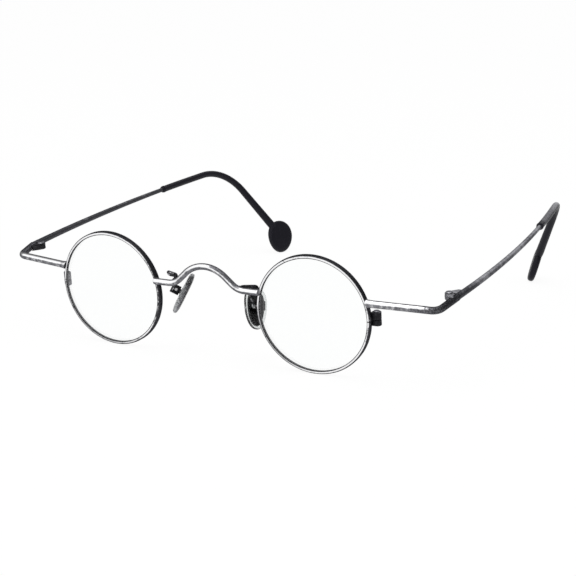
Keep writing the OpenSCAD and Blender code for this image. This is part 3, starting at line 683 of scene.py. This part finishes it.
def sleevePlastic():
    # near-black acetate sleeve: slightly uneven gloss, hairline handling marks and dust, and on
    # the top of the left one a painted sheen, grey along the temple and paler, a painted
    # highlight, over the bend
    material, tree = emptyMaterial("sleevePlastic")
    place = put(tree, "ShaderNodeTexCoord").outputs
    where = put(tree, "ShaderNodeSeparateXYZ", {0: place["Object"]}).outputs
    cloud = noise(tree, place["Object"], 260.0, 6.0)
    marks = put(tree, "ShaderNodeGroup", {
        "Place": place["Object"], "Stretch": (1.0, 0.3, 0.5), "Scale": 2600.0,
    }, node_tree=rubbingMarks).outputs
    colour = mixed(tree, cloud, (0.009, 0.0085, 0.014, 1.0), (0.015, 0.014, 0.021, 1.0))
    dust = put(tree, "ShaderNodeTexVoronoi", {"Vector": place["Object"], "Scale": 1500.0})
    speck = between(tree, dust.outputs["Distance"], 0.02, 0.05, 0.5, 0.0)
    colour = mixed(tree, speck, colour, (0.05, 0.05, 0.05, 1.0))
    # painted sheen: the left sleeve's top faces turn grey in patches along the temple and paler
    # towards the bend as a painted highlight
    facing = towards(tree, place["Normal"], paintedSheen["direction"])
    onLeft = between(tree, where["X"], *[x * mm for x in paintedSheen["sideX"]])
    sheenShare = sums(tree, "MULTIPLY", between(tree, facing, *paintedSheen["turnedUp"]), onLeft)
    along = stretchOf(tree, where["Y"], paintedSheen["startY"], paintedSheen["endY"])
    sheenShare = sums(tree, "MULTIPLY", sheenShare, along)
    brightPatch = noise(tree, place["Object"], 1700.0, 5.0, 0.7)
    sheenShare = sums(tree, "MULTIPLY", sheenShare, between(tree, brightPatch, 0.3, 0.6, 0.35, 1.0))
    further = between(tree, where["Y"], *[y * mm for y in paintedSheen["palerY"]])
    colour = mixed(tree, sheenShare, colour, mixed(tree, further, grey(0.19), grey(0.55)))
    rough = sums(tree, "ADD", between(tree, cloud, 0.3, 0.7, 0.36, 0.46),
                 between(tree, marks["Tone"], 0.35, 0.7, 0.0, 0.08))
    shown(tree, put(tree, "ShaderNodeBsdfPrincipled", {
        "Base Color": colour, "Roughness": rough, "IOR": 1.24,
        "Normal": bumped(tree, marks["Height"], 0.12)}))
    return material


glassMaterial, edgeMaterial = lensGlass(), groundEdge()
siliconeMaterial, plasticMaterial = padSilicone(), sleevePlastic()
print("glass, silicone and plastic made")


def finished(piece, material, body, slot, *nodes):
    # gives a piece its material and hands it to the frame
    piece.data.materials.clear()
    piece.data.materials.append(material)
    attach(piece, body)
    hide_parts(*nodes)


def rimProfile():
    # Cross-section of the rim wire as (radius, depth): a bar with rounded corners and a
    # V groove on its inner side that takes the lens's bevel.
    half, r, steps = rims["depth"] / 2, rims["round"], rims["cornerSteps"]
    inner = rims["inner"]
    k = np.linspace(0, math.pi / 2, steps)
    quarter = np.stack([np.cos(k), np.sin(k)], -1)
    outerFront = [rimRadius - r, half - r] + r * quarter
    innerFront = [lipRadius + inner, half - inner] + inner * quarter[::-1] * [-1, 1]
    front = np.concatenate([outerFront, innerFront])
    back = front[::-1] * [1, -1]
    edge = rims["grooveDepth"] * rims["grooveSpread"]
    groove = np.array([[lipRadius, edge], [grooveRadius, 0], [lipRadius, -edge]])
    return np.concatenate([front, groove, back])


def buildRim(sideName):
    # The profile carried round the lens's axis, from one side of the split to the other.
    # Slow waves in the depth of its two faces are those of a thickness finished by hand.
    splitAngle = math.asin(rims["split"] / 2 / grooveRadius)
    a = np.linspace(splitAngle, 2 * math.pi - splitAngle, rims["around"])[:, None]
    r, h = rimProfile().T[:, None]
    uneven = sum(height * np.sin(count * a + start) for height, count, start in rims["waves"])
    h = h + np.sign(h) * uneven * (np.abs(h) > rims["wavesPast"])
    rows = carriedRound(r, h, a)
    n, m = rows.shape[:2]
    faces = gridFaces(n, m) + [tuple(range(m)), tuple(range((n - 1) * m, n * m))]
    vertices = placed(inRim(rows.reshape(-1, 3)), sides[sideName])
    piece = meshPiece(sideName + "RimWire", vertices, faces, rims["sharp"])
    finished(piece, rimMetal, "front", "rim_metal", sideName + "_rim")


lenses = {
    "thick": 1.5, "curve": 120, "smallestRing": 0.3, "chamfer": 0.04, "ridgeFlat": 0.02,
    "rings": 28, "around": 160, "sharp": 25,
}


def buildLens(sideName):
    # Two spherical faces of one centre, of the radii curve and curve - thick, and an edge
    # bevelled to a ridge that stands in the rim's groove, carried round the lens's axis.
    edge, chamfer, flat = rims["lensRadius"], lenses["chamfer"], lenses["ridgeFlat"]
    inner = lipRadius - rims["gap"]
    ridge = (edge - inner) * rims["grooveSpread"]
    curve, thick = lenses["curve"], lenses["thick"]
    sag = curve - math.sqrt(curve ** 2 - edge ** 2)
    centre = thick / 2 + sag - curve
    r = np.linspace(lenses["smallestRing"], inner - chamfer, lenses["rings"])
    front = np.stack([r, centre + np.sqrt(curve ** 2 - r ** 2)], -1)
    back = np.stack([r, centre + np.sqrt((curve - thick) ** 2 - r ** 2)], -1)[::-1]
    rim = np.array([
        [inner, front[-1, 1] - chamfer], [inner, ridge], [edge - flat, flat],
        [edge - flat, -flat], [inner, -ridge], [inner, back[0, 1] + chamfer]])
    profile = np.concatenate([front, rim, back])
    rows = carriedRound(profile[:, :1], profile[:, 1:], fullTurn(lenses["around"])[None])
    vertices, faces = lathed(rows)
    vertices = placed(inRim(vertices), sides[sideName])
    piece = meshPiece(sideName + "LensGlass", vertices, faces, lenses["sharp"])
    finished(piece, glassMaterial, "front", "lens", sideName + "_lens")
    piece.data.materials.append(edgeMaterial)
    onEdge = np.zeros((len(rows) - 1, lenses["around"]), np.int32)
    onEdge[len(front) - 1:len(front) + len(rim)] = 1
    index = np.concatenate([onEdge.reshape(-1), np.zeros(2 * lenses["around"], np.int32)])
    piece.data.polygons.foreach_set("material_index", index)


for sideName in sides:
    buildRim(sideName)
    buildLens(sideName)
print("rims and lenses built")


def bridgeCorners():
    # Corners of the line before it is bent. The middle one lies above the bent line's top by
    # bend / cos(slope) - bend, and each slope runs down from there to its foot.
    b = bridgeWire
    slope = math.radians(b["rightSlope"])
    top = b["footZ"] + b["rise"] - b["topBend"] + b["topBend"] / math.cos(slope)
    rightX = (top - b["footZ"]) / math.tan(slope)
    leftZ = b["footZ"] + b["leftLift"]
    leftX = (top - leftZ) / math.tan(math.radians(b["leftSlope"]))
    endX = rims["centreX"] - math.sqrt(lipRadius ** 2 - b["footZ"] ** 2) - b["footShort"]
    y = -b["ahead"]
    return [[-endX, y, b["footZ"]], [-rightX, y, b["footZ"]], [0, y, top], [leftX, y, leftZ],
            [endX, y, leftZ]]


def buildBridge():
    # One round wire bent to the bridge's outline. Each foot is flattened where it is lapped
    # on the front of a rim, and the solder swells it there towards the rim.
    b = bridgeWire
    rows, s, length, p = roundWire(
        bridgeCorners(), [b["footBend"], b["topBend"], b["footBend"]], b["wire"],
        b["endRound"], [0, 1, 0], spacing=0.2, around=36)
    toEnd = np.minimum(s, length - s)[:, None, None]
    back = smoothStep(rows[..., 1:2] - p[:, None, 1:2], *b["solderBack"])
    swell = 1 + b["solder"] * back * (1 - smoothStep(toEnd, *b["solderEnd"]))
    rows = p[:, None] + (rows - p[:, None]) * swell
    front = -rims["depth"] / 2 + b["sunk"]  # of the rims, which the feet are soldered to
    over = 1 - smoothStep(toEnd[..., 0], *b["lap"])
    flattened = np.minimum(rows[..., 1], front + (1 - over) * b["lapRise"])
    rows[..., 1] = np.where(over > 0, flattened, rows[..., 1])
    vertices, faces = lathed(rows)
    piece = meshPiece("bridgeWire", placed(vertices), faces)
    finished(piece, bridgeMetal, "front", "worn_metal", "bridge")


buildBridge()
print("bridge built")


def buildEndPiece(sideName):
    # Round wire from the rim's outer face, bent back once to the hinge. Its front end is cut
    # to the rim's curve and swells with solder, its back end is cut square.
    e, side = endPieces, sides[sideName]
    lift = e["rightLift"] if side < 0 else -e["leftDrop"]
    rootX = rims["centreX"] + math.sqrt(rimRadius ** 2 - e["rootZ"] ** 2) - e["rootIn"]
    rows, s, _, p = roundWire([
        [rootX, e["rootY"], e["rootZ"]],
        [e["cornerX"], e["cornerY"], e["rootZ"] - e["cornerDrop"] + lift],
        barStart + [e["endOut"], -e["gap"], 0],
    ], [e["bend"]], e["wire"], e["endRound"], [0, 0, 1])
    swell = 1 + e["solder"] * (1 - smoothStep(s, *e["solderEnd"]))[:, None, None]
    rows = keptOut(p[:, None] + (rows - p[:, None]) * swell, rimRadius - e["sunk"])
    vertices, faces = lathed(rows)
    piece = meshPiece(sideName + "EndPieceWire", placed(vertices, side), faces)
    finished(piece, endPieceMetal, "front", "worn_metal", sideName + "_end_piece")


def buildTemple(sideName):
    # Rings round the temple's line. Their radius falls evenly along the bar and is that of
    # the thinner core from where the wire runs on inside the sleeve.
    t = temples
    start = t["sleeveStart"]
    frontAt, frontShare = np.transpose(t["frontRings"])
    bar = np.linspace(t["frontRound"], start, t["barRings"])
    core = np.linspace(start + 1, tubeLength - t["coreShort"], t["coreRings"])
    s = np.concatenate([frontAt, bar, [start + t["coreStep"]], core])
    wide = t["wireFront"] + (t["wireBack"] - t["wireFront"]) * s / start
    radius = np.where(s <= start, wide, t["core"]) / 2
    radius[:len(frontShare)] *= frontShare
    p, _, side, up = templeFrame(s)[:4]
    vertices, faces = lathed(wireRows(p, side, up, radius, t["around"]))
    piece = meshPiece(sideName + "TempleWire", placed(vertices, sides[sideName]), faces)
    finished(piece, templeMetal, sideName + "_temple_arm", "temple_metal", sideName + "_temple")


tips = {
    "around": 32, "mouthRings": (0.05, 0.09, 0.2, 0.45, 0.9, 1.4), "mouthRound": 0.85,
    "mouthGap": 0.08, "lip": 0.1, "lipAt": 0.9, "lipLength": 0.6, "thicken": 1.4,
    "evenFrom": 2, "evenTo": 4, "evenRings": 150, "closeFrom": 3.8, "closeRings": 34,
    "flatten": 4.4, "flattenEarlier": 1.6, "flatShare": 0.72, "spread": 1.4, "tubeReach": 0.75,
    "paddleAround": 72, "paddleRings": 41, "poleGap": 0.01, "faceRings": (0.35, 0.7),
    "faceEdge": 10, "rimEdge": 2.4, "egg": 0.1,
}


def buildTip(sideName):
    # Sleeve and paddle. The sleeve is a tube round the temple's line that flattens and
    # widens as it runs into the paddle; the paddle's rings are its egg outline times k at the
    # height d, with k^faceEdge + (d / half)^rimEdge = 1.
    t = temples
    start, half = t["sleeveStart"], t["paddleThick"] / 2
    last = tubeLength + t["paddleReach"] * tips["tubeReach"]
    evenFrom, evenTo = start + tips["evenFrom"], tubeLength - tips["evenTo"]
    s = np.concatenate([start + np.array(tips["mouthRings"]),
                        np.linspace(evenFrom, evenTo, tips["evenRings"]),
                        np.linspace(tubeLength - tips["closeFrom"], last, tips["closeRings"])])
    p, _, side, up = templeFrame(s)[:4]
    align = math.atan2(paddleNormal @ neckUp, paddleNormal @ neckSide)
    thickWay = math.cos(align) * side + math.sin(align) * up
    wideWay = math.cos(align) * up - math.sin(align) * side
    slim, neck = t["sleeve"] / 2, t["neckWire"] / 2
    k = np.clip((s - t["bar"]) / (hookLength + t["neck"]), 0, 1)
    radius = slim + (neck - slim) * k ** tips["thicken"]
    mouth = np.clip((s - start - tips["mouthRings"][0]) / tips["mouthRound"], 0, 1)
    opening = t["wireBack"] / 2 + tips["mouthGap"]
    radius = opening + (radius - opening) * np.sqrt(1 - (1 - mouth) ** 2)
    lip = np.exp(-((s - start - tips["lipAt"]) / tips["lipLength"]) ** 2)
    radius *= 1 + tips["lip"] * lip
    f = smoothStep(s, last - tips["flatten"] - tips["flattenEarlier"], last)
    thick = radius * (1 - f) + half * tips["flatShare"] * f
    wide = radius + tips["spread"] * smoothStep(s, last - tips["flatten"], last)
    a = fullTurn(tips["around"])[None, :, None]
    tube = p[:, None] + (thick[:, None] * thickWay)[:, None] * np.cos(a) + (
        wide[:, None] * wideWay)[:, None] * np.sin(a)
    end = math.pi / 2 - tips["poleGap"]
    c = np.linspace(-end, end, tips["paddleRings"])
    k = np.cos(c) ** (2 / tips["faceEdge"])
    d = half * np.sign(np.sin(c)) * np.abs(np.sin(c)) ** (2 / tips["rimEdge"])
    inner = np.array(tips["faceRings"])
    k = np.concatenate([k[0] * inner, k, k[-1] * inner[::-1]])
    d = np.concatenate([0 * inner - half, d, 0 * inner + half])
    b = fullTurn(tips["paddleAround"])[None]
    long = t["paddleLength"] / 2 * np.cos(b)
    across = t["paddleWidth"] / 2 * np.sin(b) * (1 - tips["egg"] * np.cos(b))
    paddle = (paddleCentre + d[:, None, None] * paddleNormal
              + (k[:, None] * long)[..., None] * paddleLong
              + (k[:, None] * across)[..., None] * paddleWide)
    vertices, faces = joined(lathed(tube), lathed(paddle))
    piece = meshPiece(sideName + "TempleTip", placed(vertices, sides[sideName]), faces)
    finished(piece, plasticMaterial, sideName + "_temple_arm", "tip_plastic",
             sideName + "_temple_tip")


for sideName in sides:
    buildEndPiece(sideName)
    buildTemple(sideName)
    buildTip(sideName)
print("end pieces, temples and tips built")


pads = {
    "length": 12.4, "width": 7.3, "thick": 2.0, "narrow": 0.2, "blunt": 0.85, "dome": 0.6,
    "shoulder": 0.5, "seam": 0.05, "seamWidth": 0.06, "turns": (-23.7, -28.9, -22.5),
    "shadeFrom": (-0.35, 0.15), "poleGap": 0.02, "rings": 40, "around": 64, "sharp": 80,
    "right": {"centre": (12, 5.2, -0.9), "lift": 0.8, "rootZ": 5.05, "loopX": 14.2, "shadedSide": 1.0},
    "left": {"centre": (11.8, 5.2, -2.5), "lift": -0.8, "rootZ": 5.35, "loopX": 14.7, "shadedSide": 0.0},
}
turnX, turnY, turnZ = [turning(axis, pads["turns"][axis]) for axis in range(3)]
padTurn = turnZ @ turnY @ turnX


def inPad(points, sideName):
    # from a pad's own frame, +X towards its box and +Z along it, to the upright frame
    return np.asarray(points, float) @ padTurn.T + np.array(pads[sideName]["centre"], float)


def buildPad(sideName):
    # A soft egg-shaped cushion: at each height x its outline is the egg scaled by
    # sin(a)^shoulder, and x runs as -cos(a)^dome from face to face. Its point attribute of
    # painted shade is 1 on the nose's side of a pad marked for it, and 0 towards its box.
    a = np.linspace(pads["poleGap"], math.pi - pads["poleGap"], pads["rings"])[:, None]
    b = fullTurn(pads["around"])[None]
    c = np.cos(a)
    x = -np.sign(c) * np.abs(c) ** pads["dome"] * pads["thick"] / 2 + 0 * b
    k = np.sin(a) ** pads["shoulder"]
    sinB = np.sign(np.sin(b)) * np.abs(np.sin(b)) ** pads["blunt"]
    cosB = np.sign(np.cos(b)) * np.abs(np.cos(b)) ** pads["blunt"]
    y = k * pads["width"] / 2 * sinB * (1 + pads["narrow"] * np.cos(b))
    z = k * pads["length"] / 2 * cosB
    seam = pads["seam"] * np.exp(-(c / pads["seamWidth"]) ** 2)  # the mould's parting line
    vertices, faces = lathed(np.stack([x, y * (1 + seam / 4), z * (1 + seam / 6)], -1))
    vertices = placed(inPad(vertices, sideName), sides[sideName])
    piece = meshPiece(sideName + "SiliconePad", vertices, faces, pads["sharp"])
    finished(piece, siliconeMaterial, sideName + "_pad", "pad_silicone", sideName + "_nose_pad")
    # painted shade: the nose's side of the right pad darkened, fading towards its box
    padShade = pads[sideName]["shadedSide"] * (1 - smoothStep(x, *pads["shadeFrom"]))
    values = np.concatenate([padShade.reshape(-1), padShade[[0, -1], 0]]).astype(np.float32)
    piece.data.attributes.new("padShade", "FLOAT", "POINT").data.foreach_set("value", values)


padArms = {
    "wire": 0.9, "endRound": 0.15, "bends": (0.7, 0.6, 0.6, 0.9, 0.7), "drop": 0.25,
    "liftShare": 0.65, "solder": 0.55, "solderEnd": (0.3, 1.1),
    "inBox": ((3.4, -2.4, -0.5), (3.4, -0.9, -0.3)),  # its last two points, in the pad's frame
}


def buildPadArm(sideName):
    # Rings round a bent line: thin wire soldered to the back of the bridge's foot, looped out
    # and brought back to the pad's box, where its end is rounded off.
    arm, own = padArms, pads[sideName]
    outX, z = own["loopX"], bridgeWire["footZ"] - arm["drop"] + arm["liftShare"] * own["lift"]
    rows, s, _, p = roundWire([
        [10.6, -1.35, own["rootZ"]], [10.7, 0.3, z + 1.65], [outX, 1.2, z + 1.9],
        [outX, 2, z + 0.75], [11.1, 2.4, z + 0.4], *inPad(arm["inBox"], sideName),
    ], arm["bends"], arm["wire"], arm["endRound"], [0, 0, 1], spacing=0.12, around=20)
    swell = 1 + arm["solder"] * (1 - smoothStep(s, *arm["solderEnd"]))[:, None, None]
    vertices, faces = lathed(p[:, None] + (rows - p[:, None]) * swell)
    piece = meshPiece(sideName + "PadArmWire", placed(vertices, sides[sideName]), faces)
    finished(piece, armMetal, "front", "arm_metal", sideName + "_pad_arm")


for sideName in sides:
    buildPad(sideName)
    buildPadArm(sideName)
print("pads and pad arms built")


hardware = [  # solid, its new name, metal, body, slot, width of its worn edges in mm
    ("_hinge_front", "HingeLeaf", hingeMetal, "front", "hinge_metal", 0.07),
    ("_temple_hinge", "HingeKnuckles", hingeMetal, "_temple_arm", "hinge_metal", 0.07),
    ("_hinge_screw", "HingeScrew", screwMetal, "_temple_arm", "screw_metal", 0.05),
    ("_closing_block_upper", "ClosingBlockTop", blockMetal, "front", "hinge_metal", 0.09),
    ("_closing_block_lower", "ClosingBlockFoot", blockMetal, "front", "hinge_metal", 0.09),
    ("_closing_screw", "ClosingScrew", screwMetal, "front", "screw_metal", 0.05),
    ("_pad_box", "PadBox", blockMetal, "front", "arm_metal", 0.08),
    ("_pad_screw", "PadScrew", padScrewMetal, "front", "screw_metal", 0.04),
]
flatWithin, sharpPast = math.radians(1.5), math.radians(35)


def wornCopy(nodeName, newName, material, body, slot, edge):
    # A copy of a small solid with its flat faces whole again and its edges rounded to the
    # given width, as years of handling leave them.
    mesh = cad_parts[nodeName].data.copy()
    mesh.name = newName
    bm = bmesh.new()
    bm.from_mesh(mesh)
    bmesh.ops.remove_doubles(bm, verts=bm.verts, dist=nearest)
    bmesh.ops.dissolve_limit(bm, angle_limit=flatWithin, verts=bm.verts, edges=bm.edges)
    bm.to_mesh(mesh)
    bm.free()
    mesh.shade_smooth()
    piece = bpy.data.objects.new(newName, mesh)
    bpy.context.scene.collection.objects.link(piece)
    bevel = piece.modifiers.new("wornEdges", "BEVEL")
    bevel.width = edge * mm
    bevel.segments = 2
    bevel.limit_method = "ANGLE"
    bevel.angle_limit = sharpPast
    bevel.harden_normals = True
    finished(piece, material, body, slot, nodeName)


for sideName in sides:
    for solid, newName, metal, body, slot, edge in hardware:
        ownBody = body if body == "front" else sideName + body
        wornCopy(sideName + solid, sideName + newName, metal, ownBody, slot, edge)
    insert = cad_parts[sideName + "_pad_insert"]
    insert.data.materials.clear()
    insert.data.materials.append(insertMetal)
print("hardware finished")


studio = {
    "floorSize": 6.0, "glow": 1.04, "shadowShare": 0.1, "fill": 0.6, "softboxSize": 0.7,
    "softboxPlace": (0.05, -0.25, 1.0), "softboxTilt": -14, "softboxRadiance": 1.6,
    "keyWay": (-0.35, -0.75, 0.56), "keyEdge": (0.55, 0.82), "keyTone": 1.25,
    "rearWay": (-0.05, 0.83, 0.555), "rearEdge": (0.9, 0.985), "rearTone": 1.0,
    "backTone": 0.28,
}


def seenDirectly(tree):
    # 1 for rays from the camera, from gloss and from glass
    rays = put(tree, "ShaderNodeLightPath").outputs
    gloss = sums(tree, "MAXIMUM", rays["Is Glossy Ray"], rays["Is Transmission Ray"])
    return sums(tree, "MAXIMUM", rays["Is Camera Ray"], gloss)


def buildFloor():
    # White table: seen directly it glows and keeps a share of its lit colour, which holds the
    # object's shadow; to everything else it is plain pale card.
    half = studio["floorSize"] / 2
    corners = [(-half, -half, 0), (half, -half, 0), (half, half, 0), (-half, half, 0)]
    mesh = bpy.data.meshes.new("tableTop")
    mesh.from_pydata(corners, [], [(0, 1, 2, 3)])
    table = bpy.data.objects.new("tableTop", mesh)
    bpy.context.scene.collection.objects.link(table)
    material, tree = emptyMaterial("tableWhite")
    glow = put(tree, "ShaderNodeEmission", {"Color": (1, 1, 1, 1), "Strength": studio["glow"]})
    card = put(tree, "ShaderNodeBsdfDiffuse", {"Color": (0.85, 0.85, 0.85, 1)})
    white = mixedShader(tree, studio["shadowShare"], glow, card)
    shown(tree, mixedShader(tree, seenDirectly(tree), card, white))
    mesh.materials.append(material)


def buildLight():
    # The camera and glass see a white room. Gloss sees one that is bright on the key side and
    # in a patch at the rear, and everything else an even fill and a softbox.
    world = bpy.data.worlds.new("studio")
    bpy.context.scene.world = world
    world.use_nodes = True
    tree = world.node_tree
    tree.nodes.clear()
    direction = put(tree, "ShaderNodeTexCoord").outputs["Generated"]
    onKey = towards(tree, direction, studio["keyWay"])
    tone = between(tree, onKey, *studio["keyEdge"], studio["backTone"], studio["keyTone"])
    behind = towards(tree, direction, studio["rearWay"])
    rear = between(tree, behind, *studio["rearEdge"], 0.0, studio["rearTone"])
    tone = sums(tree, "ADD", tone, rear)
    rays = put(tree, "ShaderNodeLightPath").outputs
    through = sums(tree, "MAXIMUM", rays["Is Camera Ray"], rays["Is Transmission Ray"])
    room = put(tree, "ShaderNodeBackground", {"Color": (1, 1, 1, 1), "Strength": tone})
    white = put(tree, "ShaderNodeBackground", {"Color": (1, 1, 1, 1), "Strength": 1.0})
    fill = put(tree, "ShaderNodeBackground", {"Color": (1, 1, 1, 1), "Strength": studio["fill"]})
    lit = mixedShader(tree, rays["Is Glossy Ray"], fill, room)
    both = mixedShader(tree, through, lit, white)
    put(tree, "ShaderNodeOutputWorld", {"Surface": both.outputs[0]})
    size = studio["softboxSize"]
    data = bpy.data.lights.new("softbox", "AREA")
    data.shape, data.size = "SQUARE", size
    data.energy = studio["softboxRadiance"] * math.pi * size * size
    lamp = bpy.data.objects.new("softbox", data)
    lamp.location = studio["softboxPlace"]
    lamp.rotation_euler = (math.radians(studio["softboxTilt"]), 0, 0)
    bpy.context.scene.collection.objects.link(lamp)


cameraView = {
    "azimuth": 28.855, "elevation": 14.180, "roll": -0.503, "lens": 104.14,
    "shift": (0.0035, -0.0013), "place": (237.14, -386.10, 118.07), "lean": 5.39,
}


def buildCamera():
    # The photograph's camera, turned with the frame's lean onto the table. back points from
    # the object to it, and right and up are its picture's, rolled about back.
    v = cameraView
    az, el, roll = [math.radians(v[k]) for k in ("azimuth", "elevation", "roll")]
    back = np.array([math.sin(az) * math.cos(el), -math.cos(az) * math.cos(el), math.sin(el)])
    level = unit(np.cross([0, 0, 1.0], back))
    plumb = np.cross(back, level)
    right = math.cos(roll) * level + math.sin(roll) * plumb
    up = math.cos(roll) * plumb - math.sin(roll) * level
    settle = turning(0, math.degrees(restTilt) - v["lean"])
    axes = np.stack([settle @ right, settle @ up, settle @ back], 1)
    place = (settle @ np.array(v["place"]) + [0, -middleY, lensZ]) * mm
    data = bpy.data.cameras.new("camera")
    data.lens, data.sensor_width = v["lens"], 36
    data.shift_x, data.shift_y = v["shift"]
    data.clip_start, data.clip_end = 0.01, 20
    camera = bpy.data.objects.new("camera", data)
    matrix = np.eye(4)
    matrix[:3, :3], matrix[:3, 3] = axes, place
    camera.matrix_world = Matrix(matrix.tolist())
    bpy.context.scene.collection.objects.link(camera)
    bpy.context.scene.camera = camera


buildFloor()
buildLight()
buildCamera()
bpy.context.scene.view_settings.view_transform = "Standard"
print("table, light and camera set")
